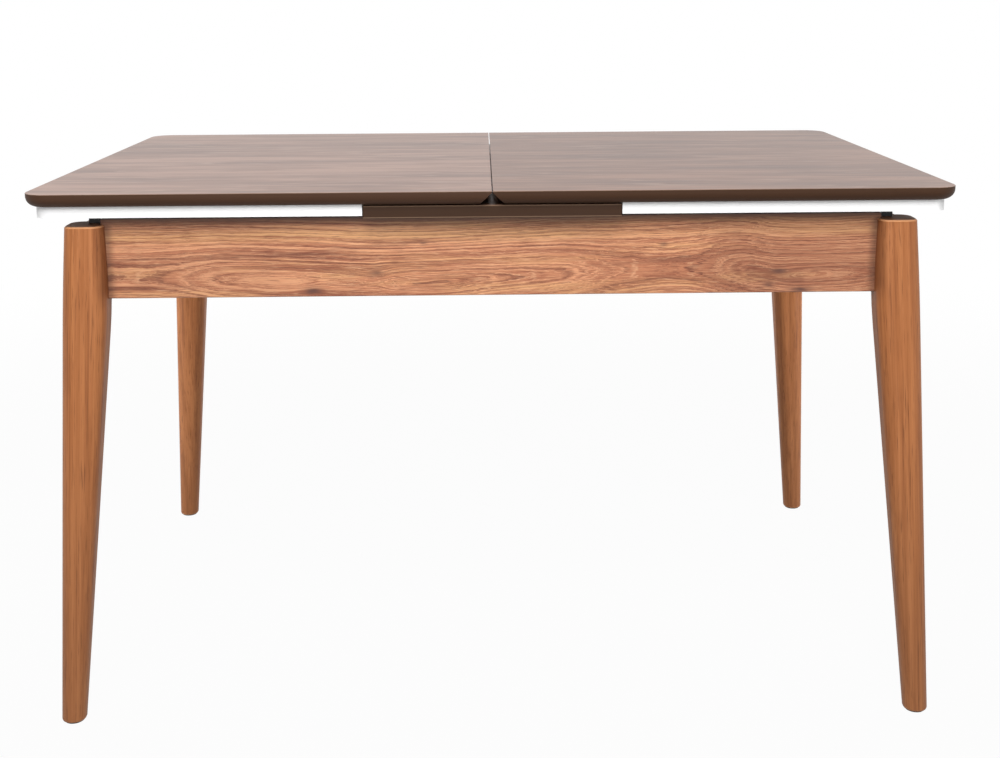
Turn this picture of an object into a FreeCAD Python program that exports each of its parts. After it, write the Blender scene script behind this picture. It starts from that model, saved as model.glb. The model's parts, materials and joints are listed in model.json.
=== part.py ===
import FreeCAD, Part
import math
import os

from FreeCAD import Vector

# Extending dining table: a splayed-leg frame, two top halves that run on steel
# slides and are geared to each other, and a loose leaf stored between them.
# Millimetres, +Z up, origin on the floor under the middle of the table, X along
# its length. The front is the side at -Y.

# Overall sizes
table_length = 1300.0
table_depth = 800.0
table_height = 780.0

# Top halves
top_thickness = 19.0
top_corner_radius = 35.0
top_edge_round = 14.0
top_edge_ease = 1.0
split_gap = 1.5
split_land = 2.0

# Spacer boards under the halves
spacer_thickness = 16.0
spacer_inset = 14.0

# Loose leaf
leaf_width = 360.0
leaf_thickness = 18.0
leaf_inset = 13.0
leaf_ease = 0.8
leaf_side_clearance = 1.0
leaf_top_clearance = 0.5
leaf_under_clearance = 0.5
leaf_lift_room = 35.0

# Plates that carry the leaf between the opened halves
plate_thickness = 1.5
plate_width = 60.0
plate_grip = 62.0
plate_reach = 25.0
plate_relief = 0.4
plate_corner_radius = 6.0
plate_place_shares = (-0.30, 0.20)

# Legs, with the outer faces straight from knee to foot and drawn in a little above
leg_round_share = 0.95
leg_top_width = 55.0
leg_top_draw = 2.5
leg_top_radius = 18.0
leg_top_ease = 2.0
leg_knee_width = 64.0
leg_knee_radius = 22.0
leg_knee_softness = 50.0
leg_knee_steps = 4
leg_shank_steps = 3
leg_foot_width = 35.0
leg_foot_radius = 16.5
leg_foot_round = 3.0
leg_foot_steps = 2
leg_flat_depth = 4.0
leg_flat_drop = 10.0
leg_end_inset = 47.0
leg_side_inset = 18.0
leg_end_splay = 36.0
leg_side_splay = 37.0
glide_height = 2.0
glide_diameter = 28.0

# Aprons
apron_height = 114.0
apron_thickness = 18.0
apron_setback = 22.0
apron_housing = 5.0
apron_ease = 1.0
apron_shadow_gap = 6.0
end_apron_drop = 1.0

# Slides: fixed channels with guides in their mouths, and runners on the halves
channel_width = 35.0
channel_height = 9.5
channel_wall = 1.5
channel_mouth = 20.0
channel_side_gap = 0.5
channel_setback = 48.0
guide_length = 17.0
guide_plug = 29.0
runner_web = 16.0
runner_flange = 27.0
runner_sheet = 1.5
runner_lift = 3.0
runner_outer_setback = 28.0
runner_inner_setback = 2.0
slide_clearance = 0.3
stop_room = 2.0

# Ledgers under the channels, stretchers under the leaf
ledger_width = 35.0
ledger_height = 20.0
ledger_end_gap = 7.0
stretcher_inset = 63.0
stretcher_thickness = 18.0
stretcher_depth = 45.0
stretcher_side_gap = 2.5
felt_thickness = 2.0
felt_margin = 1.5

# Rack and pinion that make the halves open together
gear_module = 2.0
pinion_teeth = 20
pressure_angle = math.radians(20)
addendum_share = 1.0
dedendum_share = 1.25
flank_shares = (0, 0.6, 1)
flank_gap = 0.3
pinion_height = 10.0
pinion_hub = 16.0
pinion_rim = 3.5
pinion_recess = 3.0
pinion_play = 0.3
axle_clearance = 0.08
rack_height = 12.0
rack_back = 14.0
rack_float = 0.5
rack_side_gap = 0.5
rack_spare_teeth = 2
rack_block_length = 100.0
rack_block_width = 40.0
rack_block_setback = 6.0
gear_well = 27.0
gear_board_thickness = 18.0
gear_board_margin = 26.0
axle_diameter = 8.0
axle_flange = 16.0
axle_flange_thickness = 1.2
axle_head = 14.0
axle_head_thickness = 3.0
axle_groove = 6.5
axle_stub = 1.5
clip_diameter = 13.0
clip_thickness = 1.0
clip_mouth = 5.0

# Corner brackets, with the bolts that draw the legs in
bracket_sheet = 2.0
bracket_height = 50.0
bracket_drop = 10.0
bracket_tab = 42.0
bracket_reach = 83.0
bracket_hole_clearance = 1.0
bolt_diameter = 8.0
bolt_length = 100.0
bolt_inner_length = 15.0
bolt_place_shares = (-0.26, 0.26)
nut_width = 13.0
nut_height = 6.5
nut_flange = 17.0
nut_flange_thickness = 1.5
thread_clearance = 0.15

# Cuts run past the piece by this much, and edges are found to within this
overrun = 10.0
nearness = 0.01

AXIS_X = Vector(1, 0, 0)
AXIS_Y = Vector(0, 1, 0)
AXIS_Z = Vector(0, 0, 1)
DIAGONAL = Vector(1, 1, 0).normalize()
LEFT, RIGHT = -1, 1
FRONT, BACK = -1, 1
ENDS = (("left", LEFT), ("right", RIGHT))
SIDES = (("front", FRONT), ("back", BACK))

# Heights, from the top down
top_under = table_height - top_thickness
spacer_under = top_under - spacer_thickness
leaf_upper = top_under - plate_thickness - leaf_top_clearance
leaf_under = leaf_upper - leaf_thickness
seat_height = leaf_under - leaf_under_clearance - channel_height
slide_height = spacer_under - seat_height
apron_upper = spacer_under - apron_shadow_gap
apron_under = apron_upper - apron_height
end_apron_upper = seat_height - end_apron_drop
ledger_under = seat_height - ledger_height
stretcher_upper = leaf_under - felt_thickness
stretcher_under = ledger_under - stretcher_depth
bracket_upper = ledger_under - bracket_drop
bracket_under = bracket_upper - bracket_height
gear_deck = leaf_under - gear_well
rack_under = gear_deck + rack_float
rack_upper = rack_under + rack_height
pinion_under = gear_deck + axle_flange_thickness + pinion_play
pinion_upper = pinion_under + pinion_height
clip_under = pinion_upper + pinion_play

# Places along the length and the depth, measured from the middle
half_length = table_length / 2
half_depth = table_depth / 2
leg_end = half_length - leg_end_inset
leg_side = half_depth - leg_side_inset
leg_inner_end = leg_end - leg_top_draw - leg_top_width
leg_inner_side = leg_side - leg_top_draw - leg_top_width
apron_side = leg_side - apron_setback
apron_inner_side = apron_side - apron_thickness
apron_end = leg_end - apron_setback
apron_inner_end = apron_end - apron_thickness
channel_end = leg_end - channel_setback
channel_middle = apron_inner_side - channel_side_gap - channel_width / 2
guide_end = channel_end + guide_length
guide_inner_end = channel_end - guide_plug
ledger_end = leg_inner_end - ledger_end_gap
slot_end = leaf_width / 2 + leaf_side_clearance
spacer_end = half_length - spacer_inset
spacer_side = half_depth - spacer_inset
spacer_corner_radius = top_corner_radius - spacer_inset
runner_inner_end = slot_end + runner_inner_setback
runner_outer_end = guide_end - runner_outer_setback
stretcher_offset = leaf_width / 2 - stretcher_inset
stretcher_side = channel_middle - channel_width / 2 - stretcher_side_gap
travel = leaf_width / 2 + leaf_lift_room

# Gearing
pitch_radius = gear_module * pinion_teeth / 2
tooth_pitch = math.pi * gear_module
addendum = addendum_share * gear_module
dedendum = dedendum_share * gear_module
rack_back_side = pitch_radius + rack_back
rack_root_side = pitch_radius + dedendum
rack_middle = (rack_root_side + rack_back_side) / 2
notch_side = rack_back_side + rack_side_gap
gear_board_side = rack_back_side + gear_board_margin
rack_block_inner = slot_end + rack_block_setback
rack_block_outer = rack_block_inner + rack_block_length


def block(x, y, z):
    """A block between pairs of limits."""
    low = Vector(min(x), min(y), min(z))
    high = Vector(max(x), max(y), max(z))
    return Part.makeBox(high.x - low.x, high.y - low.y, high.z - low.z, low)


def prism(points, sweep):
    """A closed outline of straight lines, swept along a vector."""
    return Part.Face(Part.makePolygon(points + points[:1])).extrude(sweep)


def rounded(shape, radius, wanted):
    """A shape with the edges that satisfy a test rounded."""
    return shape.makeFillet(radius, [edge for edge in shape.Edges if wanted(edge.BoundBox)])


def is_level(bounds, height):
    """Whether an edge lies at one height."""
    return abs(bounds.ZMin - height) < nearness and abs(bounds.ZMax - height) < nearness


def is_upright(bounds):
    """Whether an edge runs straight up."""
    return max(bounds.XLength, bounds.YLength) < nearness < bounds.ZLength


def in_corner(shape, end, side):
    """A copy of a piece of the back right corner for the corner at the given signs."""
    if end == LEFT:
        shape = shape.mirror(Vector(), AXIS_X)
    if side == FRONT:
        shape = shape.mirror(Vector(), AXIS_Y)
    return shape


def half_turned(shape):
    """A copy of a shape, turned half round about the table's middle."""
    return shape.rotated(Vector(), AXIS_Z, math.degrees(math.pi))


def top_board():
    """The left half of the top: rounded under at its outer edges, bevelled under at the split."""
    board = block((-half_length, -split_gap / 2), (-half_depth, half_depth), (top_under, table_height))
    board = rounded(board, top_corner_radius, lambda b: is_upright(b) and b.XMax < -half_length + nearness)
    outer = -split_gap / 2 - nearness
    under_round = min(top_edge_round, top_thickness - top_edge_ease * 2)
    board = rounded(board, under_round, lambda b: is_level(b, top_under) and b.XMin < outer)
    board = rounded(board, top_edge_ease, lambda b: is_level(b, table_height) and b.XMin < outer)
    bevel = top_thickness - split_land
    corner = Vector(-split_gap / 2, -half_depth, top_under)
    wedge = [corner, corner - AXIS_X * bevel, corner + AXIS_Z * bevel]
    return board.cut(prism(wedge, AXIS_Y * table_depth))


def spacer_board():
    """The white board under the left half."""
    board = block((-spacer_end, -slot_end), (-spacer_side, spacer_side), (spacer_under, top_under))
    return rounded(board, spacer_corner_radius, lambda b: is_upright(b) and b.XMax < -slot_end - nearness)


def loose_leaf():
    """The stored leaf, with its edges eased all round."""
    side = half_depth - leaf_inset
    leaf = block((-leaf_width / 2, leaf_width / 2), (-side, side), (leaf_under, leaf_upper))
    return leaf.makeChamfer(leaf_ease, leaf.Edges)


def leaf_plates():
    """Plates under the left half that reach past the split and slip under the right half."""
    plates = []
    for share in plate_place_shares:
        middle = share * table_depth
        width = (middle - plate_width / 2, middle + plate_width / 2)
        plate = block((-plate_grip, plate_reach), width, (top_under - plate_thickness, top_under))
        plate = rounded(plate, plate_corner_radius, is_upright)
        relief = (top_under - plate_relief, top_under + overrun)
        plates.append(plate.cut(block((-split_gap / 2, plate_reach + overrun), width, relief)))
    return plates


def rounded_square(middle, width, radius):
    """A level square wire with round corners, which leave a little flat on each side."""
    half = width / 2
    radius = min(radius, half * leg_round_share)
    flat = half - radius
    bulge = flat + radius * math.sin(math.pi / 4)
    turns = [(1, 1), (-1, 1), (-1, -1), (1, -1)]
    starts = [(half, flat), (-flat, half), (-half, -flat), (flat, -half)]
    stops = [(flat, half), (-half, flat), (-flat, -half), (half, -flat)]
    arcs = [[middle + Vector(*point, 0) for point in (start, (bulge * turn[0], bulge * turn[1]), stop)]
            for start, turn, stop in zip(starts, turns, stops)]
    edges = []
    for here, after in zip(arcs, arcs[1:] + arcs[:1]):
        edges.append(Part.Arc(*here).toShape())
        edges.append(Part.makeLine(here[2], after[0]))
    return Part.Wire(edges)


def between(start, stop, share):
    """A section part of the way from one to another."""
    return tuple(a + (b - a) * share for a, b in zip(start, stop))


def leg_sections():
    """A leg's sections from its eased top through a soft knee to its rounded foot.

    Each has its height, its width, its corner radius, how far its outer faces are drawn in and how
    far it is eased all round.
    """
    top = (seat_height, leg_top_width, leg_top_radius, leg_top_draw, 0)
    knee = (apron_under, leg_knee_width, leg_knee_radius, 0, 0)
    foot = (glide_height, leg_foot_width, leg_foot_radius, 0, 0)
    above = between(knee, top, leg_knee_softness / (seat_height - apron_under))
    below = between(knee, foot, leg_knee_softness / (apron_under - glide_height))
    sections = [(*top[:-1], leg_top_ease), (seat_height - leg_top_ease, *top[1:])]
    for step in range(leg_knee_steps + 1):
        share = step / leg_knee_steps
        sections.append(between(between(above, knee, share), between(knee, below, share), share))
    sections += [between(below, foot, step / leg_shank_steps) for step in range(1, leg_shank_steps)]
    for step in range(leg_foot_steps + 1):
        angle = math.pi / 2 * step / leg_foot_steps
        height = glide_height + leg_foot_round * (1 - math.sin(angle))
        sections.append((height, *foot[1:-1], leg_foot_round * (1 - math.cos(angle))))
    return sections


def bolt_flat():
    """The room at the back right leg's inner corner that leaves a flat for the bolts to enter."""
    half, reach = leg_top_width / 2, leg_knee_width
    depth = math.hypot(half - leg_top_radius, half - leg_top_radius) + leg_top_radius - leg_flat_depth
    across = Vector(-DIAGONAL.y, DIAGONAL.x, 0)
    start = Vector(leg_inner_end + half, leg_inner_side + half, 0) - across * reach
    lower = bracket_under - leg_flat_drop
    outline = [(depth, seat_height + overrun), (depth, lower), (reach, lower - reach + depth),
               (reach, seat_height + overrun)]
    points = [start - DIAGONAL * inwards + AXIS_Z * height for inwards, height in outline]
    return prism(points, across * reach * 2)


def back_right_leg():
    """A leg lofted through its sections, with its flat and the housings for the aprons."""
    wires = []
    for height, width, radius, draw, ease in leg_sections():
        drop = (seat_height - height) / (seat_height - glide_height)
        middle = Vector(leg_end + leg_end_splay * drop - draw - width / 2,
                        leg_side + leg_side_splay * drop - draw - width / 2, height)
        wires.append(rounded_square(middle, width - 2 * ease, radius - ease))
    leg = Part.makeLoft(wires, True, True).cut(bolt_flat())
    return leg.cut(Part.makeCompound([long_apron(BACK), end_apron(RIGHT)]))


def foot_middle():
    """The middle of the back right foot."""
    corner = Vector(leg_end + leg_end_splay, leg_side + leg_side_splay, 0)
    return corner - Vector(leg_foot_width / 2, leg_foot_width / 2, 0)


def foot_glide():
    """The glide under the back right leg."""
    return Part.makeCylinder(glide_diameter / 2, glide_height, foot_middle())


def long_apron(side):
    """The front or back apron, housed in the legs, with its lower edges eased."""
    end = leg_inner_end + apron_housing
    apron = block((-end, end), (side * apron_inner_side, side * apron_side), (apron_under, apron_upper))
    lower = [edge for edge in apron.Edges if is_level(edge.BoundBox, apron_under)]
    long_edges = [edge for edge in lower if edge.BoundBox.XLength > apron_thickness + nearness]
    return apron.makeChamfer(apron_ease, long_edges)


def end_apron(end):
    """The apron at one end, housed in the legs, under the level of the slides."""
    side = leg_inner_side + apron_housing
    apron = block((end * apron_inner_end, end * apron_end), (-side, side), (apron_under, end_apron_upper))
    lower = [edge for edge in apron.Edges if is_level(edge.BoundBox, apron_under)]
    long_edges = [edge for edge in lower if edge.BoundBox.YLength > apron_thickness + nearness]
    return apron.makeChamfer(apron_ease, long_edges)


def ledger(side):
    """The batten inside a long apron that carries a channel."""
    inner = apron_inner_side - ledger_width
    y = (side * inner, side * apron_inner_side)
    return block((-ledger_end, ledger_end), y, (ledger_under, seat_height))


def stretcher(end):
    """A cross rail under the leaf, stepped to pass under the ledgers and notched for the racks."""
    outline = []
    for side in (FRONT, BACK):
        arm = [(apron_inner_side, stretcher_under), (apron_inner_side, ledger_under),
               (stretcher_side, ledger_under), (stretcher_side, stretcher_upper),
               (notch_side, stretcher_upper), (notch_side, gear_deck)]
        outline += [(side * y, z) for y, z in (arm if side == BACK else arm[::-1])]
    start = end * stretcher_offset - stretcher_thickness / 2
    points = [Vector(start, y, z) for y, z in outline]
    return prism(points, AXIS_X * stretcher_thickness)


def leaf_felts():
    """Felt strips on the stretchers, on both sides of the racks."""
    felts = []
    width = stretcher_thickness / 2 - felt_margin
    for end in (LEFT, RIGHT):
        for side in (FRONT, BACK):
            x = (end * stretcher_offset - width, end * stretcher_offset + width)
            y = (side * (notch_side + felt_margin), side * (stretcher_side - felt_margin))
            felts.append(block(x, y, (stretcher_upper, leaf_under)))
    return felts


def slide_channel(side):
    """A folded steel channel whose lips hold the runners down."""
    wide, inner, mouth = channel_width / 2, channel_width / 2 - channel_wall, channel_mouth / 2
    lip = channel_height - channel_wall
    right = [(wide, 0), (wide, channel_height), (mouth, channel_height), (mouth, lip), (inner, lip),
             (inner, channel_wall)]
    outline = right + [(-y, z) for y, z in reversed(right)]
    points = [Vector(-channel_end, side * channel_middle + y, seat_height + z) for y, z in outline]
    return prism(points, AXIS_X * channel_end * 2)


def runner_room(side, x, room):
    """The space that a runner sweeps, from its flanges to above its web, with room all round."""
    middle = side * channel_middle
    flange, web = runner_flange / 2 + room, runner_web / 2 + room
    low = seat_height + runner_lift - room
    flange_top = seat_height + runner_lift + runner_sheet + room
    low_part = block(x, (middle - flange, middle + flange), (low, flange_top))
    return low_part.fuse(block(x, (middle - web, middle + web), (low, spacer_under + overrun)))


def slide_guides(side):
    """Plastic guides plugged into both mouths of a channel."""
    middle = side * channel_middle
    wide, inner = channel_width / 2, channel_width / 2 - channel_wall
    guides = []
    for end in (LEFT, RIGHT):
        nose = block((end * channel_end, end * guide_end), (middle - wide, middle + wide),
                     (seat_height, seat_height + channel_height))
        plug = block((end * guide_inner_end, end * channel_end), (middle - inner, middle + inner),
                     (seat_height + channel_wall, seat_height + channel_height - channel_wall))
        reach = (end * (guide_inner_end - overrun), end * (guide_end + overrun))
        guides.append(nose.fuse(plug).cut(runner_room(side, reach, slide_clearance)).removeSplitter())
    return guides


def runner(side):
    """The hat-section runner of the left half."""
    flange, web, inner = runner_flange / 2, runner_web / 2, runner_web / 2 - runner_sheet
    low, step, high = runner_lift, runner_lift + runner_sheet, slide_height
    right = [(inner, high - runner_sheet), (inner, low), (flange, low), (flange, step), (web, step),
             (web, high)]
    outline = right + [(-y, z) for y, z in reversed(right)]
    points = [Vector(-runner_outer_end, side * channel_middle + y, seat_height + z) for y, z in outline]
    return prism(points, AXIS_X * (runner_outer_end - runner_inner_end))


def runner_shoe(side):
    """The nylon shoe on a runner's inner end, which stops against the guide when the half is open."""
    middle = side * channel_middle
    wide = channel_width / 2 - channel_wall - slide_clearance
    outer = guide_inner_end - travel - stop_room
    x = (-outer, -runner_inner_end)
    shoe = block(x, (middle - wide, middle + wide),
                 (seat_height + channel_wall + slide_clearance,
                  seat_height + channel_height - channel_wall - slide_clearance))
    return shoe.cut(runner_room(side, x, 0))


def rack():
    """The toothed rack of the left half, which passes behind the pinion."""
    half_tooth = tooth_pitch / 4 - flank_gap
    lean = math.tan(pressure_angle)
    tip, root = half_tooth - addendum * lean, half_tooth + dedendum * lean
    last = math.ceil(travel / tooth_pitch) + rack_spare_teeth
    points = [(-rack_block_outer, rack_back_side), (-rack_block_outer, rack_root_side)]
    for tooth in range(-rack_spare_teeth, last + 1):
        middle = tooth * tooth_pitch
        points += [(middle - root, rack_root_side), (middle - tip, pitch_radius - addendum),
                   (middle + tip, pitch_radius - addendum), (middle + root, rack_root_side)]
    end = (last + 1) * tooth_pitch
    points += [(end, rack_root_side), (end, rack_back_side)]
    return prism([Vector(x, y, rack_under) for x, y in points], AXIS_Z * rack_height)


def rack_block():
    """The packer that hangs the left rack from its spacer."""
    y = (rack_middle - rack_block_width / 2, rack_middle + rack_block_width / 2)
    return block((-rack_block_outer, -rack_block_inner), y, (rack_upper, spacer_under))


def polar(radius, angle, height):
    """A point at an angle about the pinion's axis."""
    return Vector(radius * math.cos(angle), radius * math.sin(angle), height)


def pinion():
    """The pinion with involute teeth, one gap of them facing each rack."""
    base = pitch_radius * math.cos(pressure_angle)
    root, tip = pitch_radius - dedendum, pitch_radius + addendum
    tooth_angle = 2 * math.pi / pinion_teeth
    flank_start = tooth_angle / 4 + math.tan(pressure_angle) - pressure_angle
    last_roll = math.sqrt((tip / base) ** 2 - 1)
    flank = []
    for share in flank_shares:
        roll = last_roll * share
        flank.append((base * math.hypot(1, roll), roll - math.atan(roll) - flank_start))
    edges = []
    for tooth in range(pinion_teeth):
        middle = math.pi / 2 + tooth_angle / 2 + tooth * tooth_angle
        rising = [polar(radius, middle + angle, pinion_under) for radius, angle in flank]
        falling = [polar(radius, middle - angle, pinion_under) for radius, angle in reversed(flank)]
        foot_in = polar(root, middle - flank_start, pinion_under)
        foot_out = polar(root, middle + flank_start, pinion_under)
        next_foot = polar(root, middle + tooth_angle - flank_start, pinion_under)
        edges.append(Part.makeLine(foot_in, rising[0]))
        edges.append(Part.Arc(*rising).toShape())
        edges.append(Part.makeLine(rising[-1], falling[0]))
        edges.append(Part.Arc(*falling).toShape())
        edges.append(Part.makeLine(falling[-1], foot_out))
        edges.append(Part.makeLine(foot_out, next_foot))
    gear = Part.Face(Part.Wire(edges)).extrude(AXIS_Z * pinion_height)
    floor = Vector(0, 0, pinion_upper - pinion_recess)
    recess = Part.makeCylinder(root - pinion_rim, pinion_recess + overrun, floor)
    recess = recess.cut(Part.makeCylinder(pinion_hub / 2, pinion_recess + overrun, floor))
    bore = Part.makeCylinder(axle_diameter / 2 + axle_clearance, pinion_height + overrun * 2,
                             Vector(0, 0, pinion_under - overrun))
    return gear.cut(recess).cut(bore)


def gear_board():
    """The board between the stretchers that carries the pinion."""
    end = stretcher_offset - stretcher_thickness / 2
    z = (gear_deck - gear_board_thickness, gear_deck)
    return block((-end, end), (-gear_board_side, gear_board_side), z)


def gear_axle():
    """The pinion's pin: a head under the board, a flange on it and a groove for the clip."""
    head_under = gear_deck - gear_board_thickness - axle_head_thickness
    upper = clip_under + clip_thickness + axle_stub
    axle = Part.makeCylinder(axle_diameter / 2, upper - head_under, Vector(0, 0, head_under))
    axle = axle.fuse(Part.makeCylinder(axle_head / 2, axle_head_thickness, Vector(0, 0, head_under)))
    axle = axle.fuse(Part.makeCylinder(axle_flange / 2, axle_flange_thickness, Vector(0, 0, gear_deck)))
    collar = Part.makeCylinder(axle_diameter / 2, clip_thickness, Vector(0, 0, clip_under))
    neck = Part.makeCylinder(axle_groove / 2, clip_thickness, Vector(0, 0, clip_under))
    return axle.cut(collar.cut(neck))


def axle_clip():
    """The open spring clip in the axle's groove."""
    clip = Part.makeCylinder(clip_diameter / 2, clip_thickness, Vector(0, 0, clip_under))
    clip = clip.cut(Part.makeCylinder(axle_groove / 2, clip_thickness, Vector(0, 0, clip_under)))
    z = (clip_under, clip_under + clip_thickness)
    mouth = block((0, clip_diameter), (-clip_mouth / 2, clip_mouth / 2), z)
    return clip.cut(mouth)


def bracket_middle():
    """The middle of the outer face of the back right bracket's diagonal."""
    return Vector(apron_inner_end - bracket_reach / 2, apron_inner_side - bracket_reach / 2,
                  (bracket_under + bracket_upper) / 2)


def corner_bracket():
    """A folded plate across the back right corner, with a tab on each apron."""
    x_fold, y_fold = apron_inner_end - bracket_reach, apron_inner_side - bracket_reach
    mitre = bracket_sheet * math.tan(math.pi / 8)
    outline = [(x_fold - bracket_tab, apron_inner_side), (x_fold, apron_inner_side),
               (apron_inner_end, y_fold), (apron_inner_end, y_fold - bracket_tab),
               (apron_inner_end - bracket_sheet, y_fold - bracket_tab),
               (apron_inner_end - bracket_sheet, y_fold - mitre),
               (x_fold - mitre, apron_inner_side - bracket_sheet),
               (x_fold - bracket_tab, apron_inner_side - bracket_sheet)]
    plate = prism([Vector(x, y, bracket_under) for x, y in outline], AXIS_Z * bracket_height)
    hole_radius = (bolt_diameter + bracket_hole_clearance) / 2
    for place in bolt_places():
        plate = plate.cut(Part.makeCylinder(hole_radius, overrun * 2, place - DIAGONAL * overrun, DIAGONAL))
    return plate


def bolt_places():
    """Where the bolts cross the diagonal of the back right bracket."""
    return [bracket_middle() + AXIS_Z * share * bracket_height for share in bolt_place_shares]


def hanger_bolts():
    """Bolts from the back right bracket into the leg."""
    return [Part.makeCylinder(bolt_diameter / 2, bolt_length, place - DIAGONAL * bolt_inner_length, DIAGONAL)
            for place in bolt_places()]


def flange_nuts():
    """Flanged nuts on the inner side of the back right bracket."""
    nuts = []
    across = Vector(-DIAGONAL.y, DIAGONAL.x, 0)
    corner_radius = nut_width / 2 / math.cos(math.pi / 6)
    for place in bolt_places():
        face = place - DIAGONAL * bracket_sheet
        corners = []
        for corner in range(6):
            angle = corner * math.pi / 3
            corners.append(face + (across * math.cos(angle) + AXIS_Z * math.sin(angle)) * corner_radius)
        nut = prism(corners, DIAGONAL * -nut_height)
        nut = nut.fuse(Part.makeCylinder(nut_flange / 2, nut_flange_thickness, face, DIAGONAL * -1))
        bore = Part.makeCylinder(bolt_diameter / 2 + thread_clearance, nut_height + overrun * 2,
                                 face + DIAGONAL * overrun, DIAGONAL * -1)
        nuts.append(nut.cut(bore).removeSplitter())
    return nuts


def frame_nodes():
    """The pieces that stand still, by name."""
    nodes = {}
    for name, pieces in (("hanger_bolts", hanger_bolts()), ("flange_nuts", flange_nuts())):
        nodes[name] = Part.makeCompound([in_corner(piece, end, side) for piece in pieces
                                         for _, end in ENDS for _, side in SIDES])
    leg = back_right_leg()
    for side_name, side in SIDES:
        for end_name, end in ENDS:
            corner = side_name + "_" + end_name
            nodes[corner + "_leg"] = in_corner(leg, end, side).cut(nodes["hanger_bolts"])
            nodes[corner + "_glide"] = in_corner(foot_glide(), end, side)
            nodes[corner + "_bracket"] = in_corner(corner_bracket(), end, side)
        nodes[side_name + "_apron"] = long_apron(side)
        nodes[side_name + "_ledger"] = ledger(side)
        nodes[side_name + "_slide_channel"] = slide_channel(side)
        nodes[side_name + "_slide_guides"] = Part.makeCompound(slide_guides(side))
    for end_name, end in ENDS:
        nodes[end_name + "_apron"] = end_apron(end)
        nodes[end_name + "_stretcher"] = stretcher(end)
    nodes["leaf_felts"] = Part.makeCompound(leaf_felts())
    nodes["gear_axle"] = gear_axle()
    nodes["axle_clip"] = axle_clip()
    nodes["gear_board"] = gear_board().cut(nodes["gear_axle"])
    return nodes


def left_half_nodes():
    """The pieces that slide out to the left, by name without the half."""
    nodes = {"top": top_board(), "spacer": spacer_board(), "rack": rack(), "rack_block": rack_block(),
             "leaf_plates": Part.makeCompound(leaf_plates()),
             "shoes": Part.makeCompound([runner_shoe(side) for _, side in SIDES])}
    for side_name, side in SIDES:
        nodes[side_name + "_runner"] = runner(side)
    return nodes


def table_nodes():
    """Every piece of the table by its node's name."""
    nodes = frame_nodes()
    opposite = {"front_runner": "back_runner", "back_runner": "front_runner"}
    for name, piece in left_half_nodes().items():
        nodes["left_" + name] = piece
        nodes["right_" + opposite.get(name, name)] = half_turned(piece)
    nodes["pinion"] = pinion()
    nodes["leaf"] = loose_leaf()
    return nodes


os.makedirs("parts", exist_ok=True)
for node, piece in table_nodes().items():
    piece.exportStep(os.path.join("parts", node + ".step"))
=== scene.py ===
"""Looks of an extending dining table: its finishes, the studio around it and the photograph's camera."""

import json
import logging
import math
from abc import ABC, abstractmethod
from collections.abc import Sequence
from dataclasses import dataclass, field
from enum import Enum

import bpy
from mathutils import Matrix, Vector


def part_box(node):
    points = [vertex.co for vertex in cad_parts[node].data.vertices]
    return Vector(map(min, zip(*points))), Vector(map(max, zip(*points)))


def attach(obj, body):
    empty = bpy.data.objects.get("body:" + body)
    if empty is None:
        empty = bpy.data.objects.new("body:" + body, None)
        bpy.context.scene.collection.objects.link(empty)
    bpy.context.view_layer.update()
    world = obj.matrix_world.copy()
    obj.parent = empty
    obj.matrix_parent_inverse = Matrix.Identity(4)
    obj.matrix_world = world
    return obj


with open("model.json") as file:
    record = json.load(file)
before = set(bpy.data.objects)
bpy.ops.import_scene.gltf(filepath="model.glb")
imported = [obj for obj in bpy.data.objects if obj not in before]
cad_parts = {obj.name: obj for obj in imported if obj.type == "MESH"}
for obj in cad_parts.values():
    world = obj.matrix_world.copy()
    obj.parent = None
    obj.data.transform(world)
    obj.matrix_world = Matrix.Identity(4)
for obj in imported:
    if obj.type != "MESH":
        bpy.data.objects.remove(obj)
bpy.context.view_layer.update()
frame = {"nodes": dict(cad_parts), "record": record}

LOG = logging.getLogger("dining_table")
PATTERN_AVERAGE = 0.5

Colour = tuple[float, float, float, float]


def paint(red: int, green: int, blue: int) -> Colour:
    """Turn a colour as a screen shows it into the linear one that a shader takes.

    Args:
        red: Red, 0 to 255.
        green: Green, 0 to 255.
        blue: Blue, 0 to 255.

    Returns:
        The linear colour with full opacity.
    """
    full, toe, slope, offset, power = 255.0, 0.04045, 12.92, 0.055, 2.4

    def linear(level: float) -> float:
        """Straighten one channel of the screen's curve."""
        return level / slope if level <= toe else ((level + offset) / (1 + offset)) ** power

    return (*(linear(level / full) for level in (red, green, blue)), 1.0)


class Along(Enum):
    """The way that a board's grain runs."""

    LENGTH = "X"
    DEPTH = "Y"


class Step(Enum):
    """Sums that a field of numbers can take part in."""

    ADD = "ADD"
    SUBTRACT = "SUBTRACT"
    MULTIPLY = "MULTIPLY"
    DIVIDE = "DIVIDE"
    POWER = "POWER"
    EXPONENT = "EXPONENT"
    FRACTION = "FRACT"
    ABSOLUTE = "ABSOLUTE"
    LARGER = "MAXIMUM"


class Mix(Enum):
    """Sockets of the node that mixes two colours."""

    SHARE = 0
    FIRST = 6
    SECOND = 7
    RESULT = 2


@dataclass(frozen=True)
class Ramp:
    """A smooth step between two values, as a number grows from low to high."""

    low: float
    high: float
    start: float = 0.0
    stop: float = 1.0


@dataclass(frozen=True)
class Pattern:
    """A soft random pattern of blobs.

    The rates say how many blobs there are to a metre, or to a ring of the tree, along each axis. Where there
    are two of them, the layer says which slice of the pattern is read.
    """

    rates: tuple[float, ...]
    layer: float = 0.0
    detail: float = 2.0
    roughness: float = 0.5


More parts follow.
